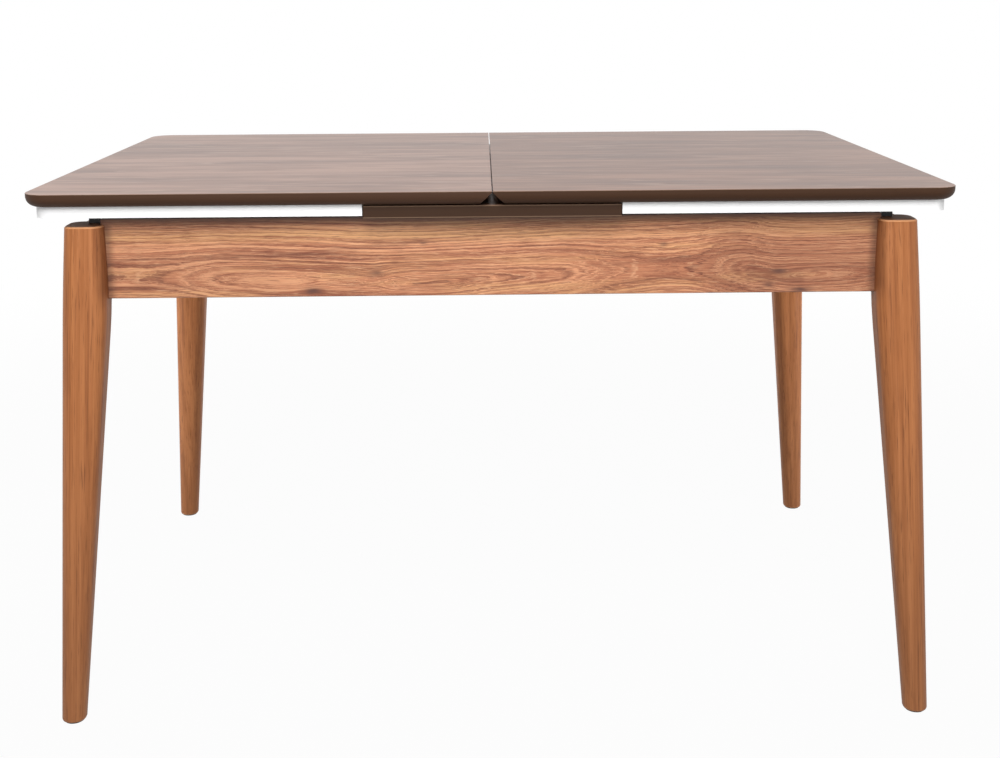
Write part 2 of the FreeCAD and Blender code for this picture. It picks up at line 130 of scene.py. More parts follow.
class Field:
    """A number that varies over a surface, with sums written as in plain Python."""

    def __init__(self, graph: "Graph", socket: bpy.types.NodeSocket) -> None:
        """Keep the graph that the number lives in and the socket that gives it."""
        self.graph = graph
        self.socket = socket

    def step(self, step: Step, other: "Field | float" = 0.0) -> "Field":
        """Combine this number with another one by the given sum."""
        node = self.graph.node("ShaderNodeMath", {0: self, 1: other}, operation=step.value)
        return Field(self.graph, node.outputs[0])

    def __add__(self, other: "Field | float") -> "Field":
        """Add a number."""
        return self.step(Step.ADD, other)

    def __radd__(self, other: float) -> "Field":
        """Add this number to another."""
        return self.step(Step.ADD, other)

    def __sub__(self, other: "Field | float") -> "Field":
        """Take a number away."""
        return self.step(Step.SUBTRACT, other)

    def __mul__(self, other: "Field | float") -> "Field":
        """Multiply by a number."""
        return self.step(Step.MULTIPLY, other)

    def __pow__(self, other: float) -> "Field":
        """Raise to a power."""
        return self.step(Step.POWER, other)

    def __abs__(self) -> "Field":
        """Drop the sign."""
        return self.step(Step.ABSOLUTE)

    def fraction(self) -> "Field":
        """Keep what follows the whole number."""
        return self.step(Step.FRACTION)

    def fade(self, rate: float = 1.0) -> "Field":
        """Fall from one at none towards none, the faster the larger the rate."""
        return (self * -rate).step(Step.EXPONENT)

    def larger(self, other: "Field | float") -> "Field":
        """Keep the larger of two numbers."""
        return self.step(Step.LARGER, other)

    def rise(self, ramp: Ramp) -> "Field":
        """Follow a ramp.

        Args:
            ramp: Where the smooth step lies, and its values before and after it.

        Returns:
            The value on the ramp.
        """
        inputs = {"Value": self, "From Min": ramp.low, "From Max": ramp.high,
                  "To Min": ramp.start, "To Max": ramp.stop}
        node = self.graph.node("ShaderNodeMapRange", inputs, interpolation_type="SMOOTHSTEP")
        return Field(self.graph, node.outputs["Result"])


Feed = Field | bpy.types.NodeSocket | float | Colour


class Graph:
    """The nodes of a material or a world, added one at a time."""

    def __init__(self, owner: bpy.types.Material | bpy.types.World) -> None:
        """Start with no nodes.

        Args:
            owner: The material or world that the nodes belong to.
        """
        owner.use_nodes = True
        self.owner = owner
        self.nodes = owner.node_tree.nodes
        self.links = owner.node_tree.links
        self.nodes.clear()

    def node(self, kind: str, inputs: dict[str | int, Feed], **settings: object) -> bpy.types.Node:
        """Add a node.

        Args:
            kind: Blender's name for the kind of node.
            inputs: What goes into its sockets.
            settings: Its other properties.

        Returns:
            The node.
        """
        node = self.nodes.new(kind)
        for name, setting in settings.items():
            setattr(node, name, setting)
        for socket, feed in inputs.items():
            if isinstance(feed, Field):
                feed = feed.socket
            if isinstance(feed, bpy.types.NodeSocket):
                self.links.new(feed, node.inputs[socket])
            else:
                node.inputs[socket].default_value = feed
        return node

    def axes(self, reading: str) -> tuple[Field, Field, Field]:
        """Split a reading of the surface into its three numbers.

        Args:
            reading: Blender's name for the reading.

        Returns:
            The numbers along the three axes.
        """
        readings = self.node("ShaderNodeTexCoord", {})
        split = self.node("ShaderNodeSeparateXYZ", {0: readings.outputs[reading]})
        return tuple(Field(self, socket) for socket in split.outputs)

    def place(self) -> tuple[Field, Field, Field]:
        """Give the place on the object, in metres."""
        return self.axes("Object")

    def facing(self) -> tuple[Field, Field, Field]:
        """Give the way that the surface faces."""
        return self.axes("Normal")

    def chance(self) -> Field:
        """Give a number that differs from piece to piece."""
        return Field(self, self.node("ShaderNodeObjectInfo", {}).outputs["Random"])

    def noise(self, pattern: Pattern, places: Sequence[Field],
              shifts: Sequence[Field | float] = (0.0, 0.0, 0.0)) -> Field:
        """Add a soft random pattern.

        Args:
            pattern: The pattern.
            places: Where to read it, in metres or rings.
            shifts: How far it is moved along each axis, in blobs.

        Returns:
            The pattern, about a half on average.
        """
        spots = [place * rate for place, rate in zip(places, pattern.rates)]
        spots += [pattern.layer] * (len(shifts) - len(spots))
        moved = [spot + shift if shift else spot for spot, shift in zip(spots, shifts)]
        vector = self.node("ShaderNodeCombineXYZ", dict(enumerate(moved)))
        inputs = {"Vector": vector.outputs[0], "Scale": 1.0, "Detail": pattern.detail,
                  "Roughness": pattern.roughness}
        return Field(self, self.node("ShaderNodeTexNoise", inputs).outputs[0])

    def wave(self, pattern: Pattern, places: Sequence[Field],
             shifts: Sequence[Field | float] = (0.0, 0.0, 0.0)) -> Field:
        """Add a soft random pattern as noise does, but one that swings about none."""
        return self.noise(pattern, places, shifts) - PATTERN_AVERAGE

    def mix(self, share: Field, first: Feed, second: Feed) -> bpy.types.NodeSocket:
        """Mix two colours.

        Args:
            share: How much of the second one to take.
            first: The colour at none.
            second: The colour at one.

        Returns:
            The mixed colour.
        """
        inputs = {Mix.SHARE.value: share, Mix.FIRST.value: first, Mix.SECOND.value: second}
        node = self.node("ShaderNodeMix", inputs, data_type="RGBA", clamp_factor=True)
        return node.outputs[Mix.RESULT.value]

    def bump(self, height: Field, depth: float) -> bpy.types.NodeSocket:
        """Turn a height from none to one into a tilt of the surface, for a depth in metres."""
        node = self.node("ShaderNodeBump", {"Height": height, "Distance": depth, "Strength": 1.0})
        return node.outputs["Normal"]

    def surface(self, inputs: dict[str, Feed]) -> bpy.types.Material:
        """Close the material with its shader.

        Args:
            inputs: What goes into the shader's sockets.

        Returns:
            The finished material.
        """
        shader = self.node("ShaderNodeBsdfPrincipled", inputs)
        self.node("ShaderNodeOutputMaterial", {"Surface": shader.outputs[0]})
        return self.owner


class Finish(ABC):
    """A finish that can be made into a material."""

    @abstractmethod
    def build(self) -> bpy.types.Material:
        """Make the material."""

    def uneven(self, level: float, swing: float, pattern: Field) -> Field:
        """Vary a roughness about its level by a swing in all, as a pattern does."""
        return pattern * swing + (level - swing * PATTERN_AVERAGE)


@dataclass(frozen=True)
class StreakedLaminate(Finish):
    """Walnut-look laminate with long streaks, a dark band on its edges, and a painted highlight along its
    eased lip and, on the leaf, its rims.
    """

    name: str = "walnut_laminate"
    pale: Colour = paint(151, 114, 97)
    middle: Colour = paint(126, 90, 73)
    dark: Colour = paint(95, 63, 49)
    edge: Colour = paint(59, 35, 19)
    edge_streak: Colour = paint(71, 45, 27)
    thread: Colour = paint(186, 152, 134)
    # Colour of the painted highlight where the eased lip and the leaf's rims catch the light.
    painted_edge_highlight: Colour = paint(150, 120, 98)
    piece_shift: float = 7.0
    sway: Pattern = Pattern((1.4, 4.0))
    sway_width: float = 0.034
    bands: Pattern = Pattern((1 / 0.42, 1 / 0.060), 3.0, 3.0, 0.55)
    streaks: Pattern = Pattern((1 / 0.17, 1 / 0.014), 0.0, 5.0, 0.62)
    fibres: Pattern = Pattern((1 / 0.045, 1 / 0.0014), 0.0, 2.0, 0.6)
    threads: Pattern = Pattern((2.2, 24.0), 11.0, 3.0, 0.60)
    edge_grain: Pattern = Pattern((14.0, 14.0, 420.0), detail=3.0)
    band_share: float = 0.58
    middle_tone: Ramp = Ramp(0.40, 0.51)
    dark_tone: Ramp = Ramp(0.50, 0.62, 0.0, 0.75)
    fibre_tone: Ramp = Ramp(0.56, 0.76, 0.0, 0.26)
    thread_width: Ramp = Ramp(0.0, 0.030, 1.0, 0.0)
    thread_tone: Ramp = Ramp(0.40, 0.55, 0.0, 0.36)
    face_tilt: Ramp = Ramp(0.80, 0.95)
    # Masks of the painted highlight: the eased lip of the face, and on the leaf the chamfered rims above and
    # below its middle height.
    lip_tilt: Ramp = Ramp(0.30, 0.60)
    lip_highlight_fade: Ramp = Ramp(0.80, 0.95, 0.7, 0.0)
    rim_highlight: float = 0.0
    rim_middle: float = 0.7503
    rim_reach: Ramp = Ramp(0.0069, 0.0077)
    rim_tilt: Ramp = Ramp(0.50, 0.80, 1.0, 0.0)
    face_roughness: float = 0.30
    edge_roughness: float = 0.60
    roughness_swing: float = 0.10
    ior: float = 1.34
    pore_depth: float = 0.00004

    def face_colour(self, graph: Graph, x: Field, across: Field, shifts: Sequence[Field | float],
                    fibre: Field) -> bpy.types.NodeSocket:
        """Mix the streaks of the broad faces.

        Args:
            graph: The material's nodes.
            x: The place along the grain.
            across: The place across the grain.
            shifts: How far this piece's patterns are moved.
            fibre: The fine fibres.

        Returns:
            The colour of the faces.
        """
        band = graph.noise(self.bands, (x, across), shifts)
        streak = graph.noise(self.streaks, (x, across), shifts)
        thread = abs(graph.wave(self.threads, (x, across), shifts))
        tone = band * self.band_share + streak * (1 - self.band_share)
        colour = graph.mix(tone.rise(self.middle_tone), self.pale, self.middle)
        colour = graph.mix(tone.rise(self.dark_tone), colour, self.dark)
        colour = graph.mix(fibre.rise(self.fibre_tone), colour, self.dark)
        return graph.mix(thread.rise(self.thread_width) * band.rise(self.thread_tone), colour, self.thread)

    def build(self) -> bpy.types.Material:
        """Make the laminate with its edge band."""
        graph = Graph(bpy.data.materials.new(self.name))
        x, y, z = graph.place()
        shifts = (0.0, 0.0, graph.chance() * self.piece_shift)
        across = y + graph.noise(self.sway, (x, y), shifts) * self.sway_width
        fibre = graph.noise(self.fibres, (x, across), shifts)
        face = self.face_colour(graph, x, across, shifts, fibre)
        band = graph.mix(graph.noise(self.edge_grain, (x, y, z)), self.edge, self.edge_streak)
        tilt = graph.facing()[2]
        up = tilt.rise(self.face_tilt)
        colour = graph.mix(up, band, face)
        # Painted highlight on the eased lip, and on the leaf's chamfered rims.
        colour = graph.mix(tilt.rise(self.lip_tilt) * tilt.rise(self.lip_highlight_fade), colour, self.painted_edge_highlight)
        if self.rim_highlight:
            rim = abs(z - self.rim_middle).rise(self.rim_reach) * abs(tilt).rise(self.rim_tilt)
            colour = graph.mix(rim * self.rim_highlight, colour, self.painted_edge_highlight)
        roughness = self.uneven(self.edge_roughness, self.roughness_swing, fibre)
        roughness = roughness + up * (self.face_roughness - self.edge_roughness)
        return graph.surface({
            "Base Color": colour, "Roughness": roughness, "IOR": self.ior,
            "Normal": graph.bump(fibre, self.pore_depth)})


@dataclass(frozen=True)
class StraightGrain(Finish):
    """Stained hardwood with a fine upright grain that follows the splay of the legs."""

    name: str = "leg_walnut"
    pale: Colour = paint(184, 118, 71)
    middle: Colour = paint(165, 101, 57)
    dark: Colour = paint(136, 79, 43)
    pore: Colour = paint(94, 51, 27)
    # Colour of the painted highlight on the eased edges.
    painted_edge_highlight: Colour = paint(206, 150, 106)
    end_grain: Colour = paint(120, 84, 60)
    # Colour of the painted shade towards the feet, where the light falls off near the floor.
    foot_shade: Colour = paint(118, 86, 62)
    end_splay: float = 0.049
    side_splay: float = 0.051
    piece_shift: float = 9.0
    sway: Pattern = Pattern((12.0, 12.0, 2.0))
    sway_width: float = 0.012
    streaks: Pattern = Pattern((1 / 0.0055, 1 / 0.0055, 1 / 0.45), detail=5.0, roughness=0.62)
    fibres: Pattern = Pattern((1 / 0.0013, 1 / 0.0013, 1 / 0.060), detail=2.0, roughness=0.6)
    patches: Pattern = Pattern((22.0, 22.0, 3.0))
    streak_share: float = 0.75
    middle_tone: Ramp = Ramp(0.36, 0.56)
    dark_tone: Ramp = Ramp(0.52, 0.70, 0.0, 0.70)
    pore_tone: Ramp = Ramp(0.55, 0.73, 0.0, 0.70)
    # How the painted shade grows towards the feet.
    foot_shade_tone: Ramp = Ramp(0.0, 0.55, 0.26, 0.0)
    # Where the painted shade on the inner sides falls: on faces turned to the table's middle, up beside the
    # aprons.
    joint_shade_facing: Ramp = Ramp(0.25, 0.90)
    joint_shade_height: Ramp = Ramp(0.605, 0.645, 0.0, 0.60)
    # Where the painted highlight lies: the eased edges between the sides and the ends.
    edge_highlight_tilt: Ramp = Ramp(0.25, 0.55, 0.0, 0.7)
    end_tilt: Ramp = Ramp(0.75, 0.95)
    roughness: float = 0.50
    roughness_swing: float = 0.12
    ior: float = 1.36
    pore_depth: float = 0.00005

    def build(self) -> bpy.types.Material:
        """Make the leg wood, with painted shade towards the feet and on the inner sides beside the aprons,
        and a painted highlight on the eased edges.
        """
        graph = Graph(bpy.data.materials.new(self.name))
        x, y, z = graph.place()
        shifts = (0.0, 0.0, graph.chance() * self.piece_shift)
        side = abs(x) + z * self.end_splay
        depth = abs(y) + z * self.side_splay
        sway = graph.noise(self.sway, (side, depth, z), shifts) * self.sway_width
        swayed = (side + sway, depth + sway, z)
        streak = graph.noise(self.streaks, swayed, shifts)
        fibre = graph.noise(self.fibres, swayed, shifts)
        patch = graph.noise(self.patches, (side, depth, z), shifts)
        tone = streak * self.streak_share + patch * (1 - self.streak_share)
        colour = graph.mix(tone.rise(self.middle_tone), self.pale, self.middle)
        colour = graph.mix(streak.rise(self.dark_tone), colour, self.dark)
        colour = graph.mix(fibre.rise(self.pore_tone), colour, self.pore)
        # Painted shade: darker and greyer towards the feet.
        colour = graph.mix(z.rise(self.foot_shade_tone), colour, self.foot_shade)
        facing = graph.facing()
        # Painted shade on the sides that face the table's middle, beside the aprons, mixed towards the pore
        # colour.
        inward = (facing[0] * x).step(Step.DIVIDE, abs(x)) * -1.0
        colour = graph.mix(inward.rise(self.joint_shade_facing) * z.rise(self.joint_shade_height), colour, self.pore)
        up = abs(facing[2])
        # Painted highlight on the eased edges, then the end grain on the ends.
        colour = graph.mix(up.rise(self.edge_highlight_tilt), colour, self.painted_edge_highlight)
        colour = graph.mix(up.rise(self.end_tilt), colour, self.end_grain)
        return graph.surface({
            "Base Color": colour, "Roughness": self.uneven(self.roughness, self.roughness_swing, fibre),
            "IOR": self.ior, "Normal": graph.bump(fibre, self.pore_depth)})


@dataclass(frozen=True)
class Knot:
    """A small dark knot that the grain lines bend round."""

    along: float
    height: float
    length: float
    width: float
    strength: float
    bend: float = 0.004


@dataclass(frozen=True)
class DarkStreak:
    """A dark band that rises or falls a little along a board: a thin line of heartwood, or a broad band of
    painted shade.
    """

    start: float
    start_height: float
    stop: float
    stop_height: float
    width: float
    strength: float
    blend_share: float = 0.25


Route = tuple[tuple[float, float], ...]


@dataclass(frozen=True)
class CathedralVeneer(Finish):
    """Walnut veneer, cut so that the tree's rings show as nested arches along a wandering middle.

    The middle gives the height of the arches along the board, and the cover gives how far the tree's
    heart lies behind the face there: arches point to where the cover grows and close where it dips.
    """

    name: str
    middle_route: Route
    cover_route: Route
    knots: tuple[Knot, ...] = ()
    streaks: tuple[DarkStreak, ...] = ()
    grain: Along = Along.LENGTH
    seed: float = 0.0
    pale: Colour = paint(220, 156, 116)
    middle: Colour = paint(186, 121, 87)
    dark: Colour = paint(144, 84, 59)
    line: Colour = paint(98, 53, 39)
    light_line: Colour = paint(234, 180, 138)
    sapwood: Colour = paint(224, 172, 116)
    knot: Colour = paint(88, 55, 46)
    # Colour of the painted shade under the top and in the corners beside the legs.
    painted_shade: Colour = paint(70, 42, 30)
    bottom: float = 0.625
    half_length: float = 0.60
    tallest: float = 0.12
    sway: Pattern = Pattern((4.0, 16.0), 0.0, 3.0, 0.55)
    sway_height: float = 0.010
    ripples: Pattern = Pattern((34.0, 110.0), 5.0, 3.0, 0.65)
    ripple_height: float = 0.0022
    ripple_cover: float = 0.0040
    knot_ripple: tuple[float, float] = (0.010, 0.006)
    bend_fade: float = 0.16
    dashes: Pattern = Pattern((9.0, 620.0), 21.0, 2.0, 0.6)
    dash_length: float = 0.040
    ring_gap: float = 0.0030
    ring_drift: Pattern = Pattern((1.2, 0.35), 7.0)
    drift_rings: float = 1.6
    figures: Pattern = Pattern((2.2, 1.45), 57.3, 4.0, 0.68)
    figure_share: float = 0.72
    patches: Pattern = Pattern((3.0, 0.13), 4.0)
    threads: Pattern = Pattern((5.0, 0.70), 14.0, 3.0, 0.60)
    golden_patches: Pattern = Pattern((3.2, 34.0), 33.0, 3.0, 0.6)
    fibres: Pattern = Pattern((1 / 0.030, 1 / 0.0012), 0.0, 2.0, 0.6)
    middle_tone: Ramp = Ramp(0.41, 0.50)
    dark_tone: Ramp = Ramp(0.51, 0.60)
    golden_tone: Ramp = Ramp(0.48, 0.66)
    golden_share: Ramp = Ramp(0.46, 0.54, 0.42, 0.16)
    sapwood_height: float = 0.088
    sapwood_width: float = 0.009
    sapwood_along: Ramp = Ramp(-0.10, 0.30, 0.62, 0.25)
    sapwood_tone: Ramp = Ramp(0.45, 0.60, 1.0, 0.3)
    thread_tone: Ramp = Ramp(0.0, 0.016, 0.48, 0.0)
    lines_per_ring: float = 0.62
    line_start: Ramp = Ramp(0.45, 0.90)
    line_stop: Ramp = Ramp(0.91, 1.0, 1.0, 0.0)
    line_tone: Ramp = Ramp(0.36, 0.58, 0.0, 0.66)
    pore_tone: Ramp = Ramp(0.54, 0.70, 0.0, 0.62)
    light_tone: Ramp = Ramp(0.30, 0.46, 0.50, 0.0)
    # Where the painted shade under the top falls, and how far the painted shade reaches in from the legs'
    # inner faces.
    shade_under_top: Ramp = Ramp(0.101, 0.114, 0.0, 0.88)
    shade_ripple: float = 0.002
    visible_end: float = 0.544
    corner_shade_reach: float = 0.014
    corner_shade_share: float = 0.60
    corner_shade_ripple: float = 0.003
    roughness: float = 0.44
    roughness_swing: float = 0.12
    ior: float = 1.46
    pore_depth: float = 0.00006

    def follow(self, graph: Graph, along: Field, route: Route) -> Field:
        """Read a route at a place along the board.

        Args:
            graph: The material's nodes.
            along: The place along the grain.
            route: Pairs of a place along the grain and a height, in metres.

        Returns:
            The height there, in metres.
        """
        centre = 0.5
        scale = centre / self.half_length
        node = graph.node("ShaderNodeFloatCurve", {"Value": along * scale + centre})
        points = node.mapping.curves[0].points
        while len(points) < len(route):
            points.new(centre, centre)
        for point, (place, height) in zip(points, route):
            point.location = (place * scale + centre, height / self.tallest)
        node.mapping.update()
        return Field(graph, node.outputs[0]) * self.tallest

    def knot_distance(self, along: Field, up: Field, knot: Knot) -> Field:
        """Measure how far a place is from a knot.

        Args:
            along: The place along the grain.
            up: The place across the grain.
            knot: The knot.

        Returns:
            The square of the distance, one at the knot's rim.
        """
        side = (along - knot.along) * (1 / knot.length)
        rise = (up - knot.height) * (1 / knot.width)
        return side * side + rise * rise

    def streak_shade(self, along: Field, up: Field, streak: DarkStreak) -> Field:
        """Shade the places near a dark streak.

        Args:
            along: The place along the grain.
            up: The place across the grain.
            streak: The streak.

        Returns:
            None away from it, and its strength in its middle.
        """
        slope = (streak.stop_height - streak.start_height) / (streak.stop - streak.start)
        offset = (up - (along - streak.start) * slope - streak.start_height) * (1 / streak.width)
        blend = (streak.stop - streak.start) * streak.blend_share
        begun = along.rise(Ramp(streak.start - blend, streak.start))
        ended = along.rise(Ramp(streak.stop, streak.stop + blend, 1.0, 0.0))
        return (offset * offset).fade() * begun * ended * streak.strength

    def marks(self, along: Field, up: Field, level: Field, ripple: Field) -> tuple[Field, Field, Field]:
        """Shade the knots and the dark streaks.

        Args:
            along: The place along the grain.
            up: The place across the grain.
            level: The same, swayed with the grain.
            ripple: A fine ripple of the grain.

        Returns:
            The shade of the knots, the shade of the streaks, and how far the knots push the rings apart.
        """
        knots = streaks = push = up * 0.0
        for knot in self.knots:
            side, rise = (ripple * reach for reach in self.knot_ripple)
            near = self.knot_distance(along + side, up + rise, knot)
            knots = knots.larger(near.fade() * knot.strength)
            push = push + near.fade(self.bend_fade) * knot.bend
        for streak in self.streaks:
            streaks = streaks.larger(self.streak_shade(along, level, streak))
        return knots, streaks, push

    def build(self) -> bpy.types.Material:
        """Make the veneer, with painted shade under the top and in the corners beside the legs."""
        graph = Graph(bpy.data.materials.new(self.name))
        x, y, z = graph.place()
        along = x if self.grain is Along.LENGTH else y
        up = z - self.bottom
        shifts = (self.seed, 0.0, 0.0)
        sway = graph.wave(self.sway, (along, up), shifts)
        ripple = graph.wave(self.ripples, (along, up), shifts)
        dash = graph.wave(self.dashes, (along, up), shifts)
        level = up + sway * self.sway_height + ripple * self.ripple_height
        drawn = along + dash * self.dash_length
        offset = level - self.follow(graph, drawn, self.middle_route)
        cover = self.follow(graph, drawn, self.cover_route) + ripple * self.ripple_cover
        knots, streaks, push = self.marks(along, up, level, ripple)
        depth = (offset * offset + cover * cover) ** 0.5 + push
        rings = depth * (1 / self.ring_gap)
        rings = rings + graph.noise(self.ring_drift, (along, rings), shifts) * self.drift_rings
        figure = graph.noise(self.figures, (along, rings), shifts)
        patch = graph.noise(self.patches, (along, rings), shifts)
        thread = abs(graph.wave(self.threads, (along, rings), shifts))
        line = (rings * self.lines_per_ring).fraction()
        line = line.rise(self.line_start) * line.rise(self.line_stop)
        fibre = graph.noise(self.fibres, (along, level), shifts)
        golden = graph.noise(self.golden_patches, (along, level), shifts)
        tone = figure * self.figure_share + patch * (1 - self.figure_share)
        colour = graph.mix(tone.rise(self.middle_tone), self.pale, self.middle)
        colour = graph.mix(tone.rise(self.dark_tone), colour, self.dark)
        colour = graph.mix(golden.rise(self.golden_tone) * tone.rise(self.golden_share), colour, self.sapwood)
        near_sapwood = (level - self.sapwood_height) * (1 / self.sapwood_width)
        band = (near_sapwood * near_sapwood).fade() * along.rise(self.sapwood_along)
        colour = graph.mix(band * tone.rise(self.sapwood_tone), colour, self.sapwood)
        colour = graph.mix(thread.rise(self.thread_tone), colour, self.light_line)
        colour = graph.mix(line * figure.rise(self.line_tone), colour, self.line)
        colour = graph.mix(fibre.rise(self.pore_tone), colour, self.line)
        colour = graph.mix(fibre.rise(self.light_tone), colour, self.light_line)
        # The dark streaks, and on the front apron the broad bands of painted shade at its ends.
        colour = graph.mix(streaks, colour, self.line)
        colour = graph.mix(knots, colour, self.knot)
        # Painted shade: darker under the top's overhang and towards the legs at both ends.
        corner = Ramp(self.visible_end - self.corner_shade_reach, self.visible_end, 0.0, self.corner_shade_share)
        painted_shade = (up + ripple * self.shade_ripple).rise(self.shade_under_top)
        painted_shade = painted_shade.larger((abs(along) + ripple * self.corner_shade_ripple).rise(corner))
        colour = graph.mix(painted_shade, colour, self.painted_shade)
        return graph.surface({
            "Base Color": colour, "Roughness": self.uneven(self.roughness, self.roughness_swing, fibre),
            "IOR": self.ior, "Normal": graph.bump(fibre, self.pore_depth)})


@dataclass(frozen=True)
class Beech(Finish):
    """Plain sealed beech for the hidden rails, with short flecks."""

    name: str = "beech"
    pale: Colour = paint(214, 178, 136)
    dark: Colour = paint(190, 150, 108)
    fleck: Colour = paint(158, 114, 76)
    clouds: Pattern = Pattern((7.0, 7.0, 60.0), detail=3.0)
    flecks: Pattern = Pattern((130.0, 130.0, 900.0), detail=2.0, roughness=0.6)
    dark_tone: Ramp = Ramp(0.30, 0.70)
    fleck_tone: Ramp = Ramp(0.60, 0.76, 0.0, 0.55)
    roughness: float = 0.55
    roughness_swing: float = 0.16
    pore_depth: float = 0.00008

    def build(self) -> bpy.types.Material:
        """Make the beech."""
        graph = Graph(bpy.data.materials.new(self.name))
        place = graph.place()
        fleck = graph.noise(self.flecks, place)
        colour = graph.mix(graph.noise(self.clouds, place).rise(self.dark_tone), self.pale, self.dark)
        colour = graph.mix(fleck.rise(self.fleck_tone), colour, self.fleck)
        return graph.surface({
            "Base Color": colour, "Roughness": self.uneven(self.roughness, self.roughness_swing, fleck),
            "Normal": graph.bump(fleck, self.pore_depth)})


@dataclass(frozen=True)
class Moulding(Finish):
    """A moulded or coated surface with a fine even texture."""

    name: str
    colour: Colour
    shade: Colour
    roughness: float
    texture: float = 0.0009
    texture_depth: float = 0.00004
    metallic: float = 0.0
    sheen: float = 0.0
    ior: float = 1.5
    clouds: Pattern = Pattern((30.0, 30.0, 30.0), detail=3.0)
    cloud_share: float = 0.7
    shade_tone: Ramp = Ramp(0.30, 0.70)
    roughness_swing: float = 0.16

    def build(self) -> bpy.types.Material:
        """Make the surface."""
        graph = Graph(bpy.data.materials.new(self.name))
        place = graph.place()
        fine = graph.noise(Pattern((1 / self.texture,) * 3), place)
        tone = graph.noise(self.clouds, place) * self.cloud_share + fine * (1 - self.cloud_share)
        return graph.surface({
            "Base Color": graph.mix(tone.rise(self.shade_tone), self.colour, self.shade),
            "Roughness": self.uneven(self.roughness, self.roughness_swing, fine),
            "Metallic": self.metallic, "Sheen Weight": self.sheen, "IOR": self.ior,
            "Normal": graph.bump(fine, self.texture_depth)})


class Finishes(Enum):
    """The shared finishes by the record's material slot; each apron has a veneer of its own."""

    TOP_LAMINATE = "top_laminate"
    WHITE_BOARD = "white_board"
    LEG_WOOD = "leg_wood"
    INNER_WOOD = "inner_wood"
    ZINC_STEEL = "zinc_steel"
    BLACK_PLASTIC = "black_plastic"
    NYLON = "nylon"
    FELT = "felt"
    GLIDE_PLASTIC = "glide_plastic"


PLAIN_FINISHES: dict[Finishes, Finish] = {
    Finishes.TOP_LAMINATE: StreakedLaminate(),
    Finishes.WHITE_BOARD: Moulding("white_melamine", paint(255, 255, 255), paint(252, 252, 252), 0.30,
                                   ior=1.87),
    Finishes.LEG_WOOD: StraightGrain(),
    Finishes.INNER_WOOD: Beech(),
    Finishes.ZINC_STEEL: Moulding("zinc_plate", paint(176, 178, 182), paint(148, 150, 154), 0.36,
                                  texture=0.0016, texture_depth=0.00003, metallic=1.0),
    Finishes.BLACK_PLASTIC: Moulding("black_moulding", paint(24, 24, 25), paint(34, 34, 35), 0.46),
    Finishes.NYLON: Moulding("natural_nylon", paint(228, 225, 212), paint(216, 212, 196), 0.44),
    Finishes.FELT: Moulding("dark_felt", paint(62, 56, 52), paint(44, 40, 37), 0.90,
                            texture=0.0005, texture_depth=0.0002, sheen=0.4),
    Finishes.GLIDE_PLASTIC: Moulding("brown_glide", paint(52, 40, 32), paint(40, 30, 24), 0.50),
}

# A darker copy of the laminate, edge included, for the right half: painted shade where the light falls off to
# the right.
SHADED_RIGHT_LAMINATE = StreakedLaminate("right_laminate", paint(132, 92, 71), paint(108, 70, 50), paint(78, 45, 30),
                                  paint(52, 28, 9), paint(63, 37, 16), paint(172, 136, 116))
LEAF_LAMINATE = StreakedLaminate("leaf_laminate", edge=paint(46, 24, 6), edge_streak=paint(57, 33, 12),
                                 rim_highlight=0.5)

FRONT_VENEER = CathedralVeneer(
    "front_veneer",
    middle_route=(
        (-0.56, 0.031), (-0.43, 0.029), (-0.25, 0.022), (-0.09, 0.019), (0.03, 0.026), (0.13, 0.031),
        (0.23, 0.036), (0.34, 0.036), (0.41, 0.026), (0.56, 0.030)),
    cover_route=(
        (-0.56, 0.0255), (-0.46, 0.0240), (-0.42, 0.017), (-0.37, 0.008), (-0.29, 0.005), (-0.19, 0.010),
        (-0.09, 0.001), (0.00, 0.009), (0.09, 0.014), (0.19, 0.030), (0.27, 0.032), (0.34, 0.017),
        (0.41, 0.004), (0.56, 0.012)),
    knots=(
        Knot(-0.255, 0.009, 0.012, 0.0050, 0.92), Knot(-0.166, 0.033, 0.009, 0.0045, 0.65),
        Knot(-0.097, 0.077, 0.005, 0.0028, 0.55, 0.001), Knot(0.243, 0.072, 0.006, 0.0032, 0.60, 0.001),
        Knot(0.407, 0.031, 0.011, 0.0040, 0.85), Knot(0.393, 0.011, 0.008, 0.0045, 0.70),
        Knot(0.440, 0.004, 0.014, 0.0040, 0.95, 0.002)),
    streaks=(
        DarkStreak(-0.510, 0.055, -0.250, 0.062, 0.0030, 0.50),
        DarkStreak(-0.560, 0.018, -0.430, 0.016, 0.0026, 0.42),
        DarkStreak(-0.240, 0.066, -0.110, 0.078, 0.0026, 0.36),
        DarkStreak(0.180, 0.044, 0.420, 0.060, 0.0030, 0.26),
        DarkStreak(0.365, 0.024, 0.440, 0.020, 0.0180, 0.40),
        # Broad dark bands at the right and left ends: painted shade where the light falls off towards the
        # ends.
        DarkStreak(0.340, 0.040, 0.600, 0.045, 0.0700, 0.30),
        DarkStreak(-0.600, 0.030, -0.330, 0.030, 0.0500, 0.15)))
BACK_VENEER = CathedralVeneer(
    "back_veneer",
    middle_route=((-0.56, 0.060), (-0.30, 0.050), (-0.05, 0.040), (0.25, 0.034), (0.56, 0.044)),
    cover_route=(
        (-0.56, 0.004), (-0.38, 0.014), (-0.15, 0.030), (0.05, 0.022), (0.20, 0.008), (0.34, 0.002),
        (0.56, 0.020)),
    knots=(Knot(0.290, 0.026, 0.010, 0.0040, 0.60), Knot(-0.470, 0.020, 0.007, 0.0030, 0.50)),
    streaks=(
        DarkStreak(-0.300, 0.078, 0.100, 0.070, 0.0030, 0.40),
        DarkStreak(0.150, 0.018, 0.400, 0.024, 0.0030, 0.34)),
    seed=4.7)
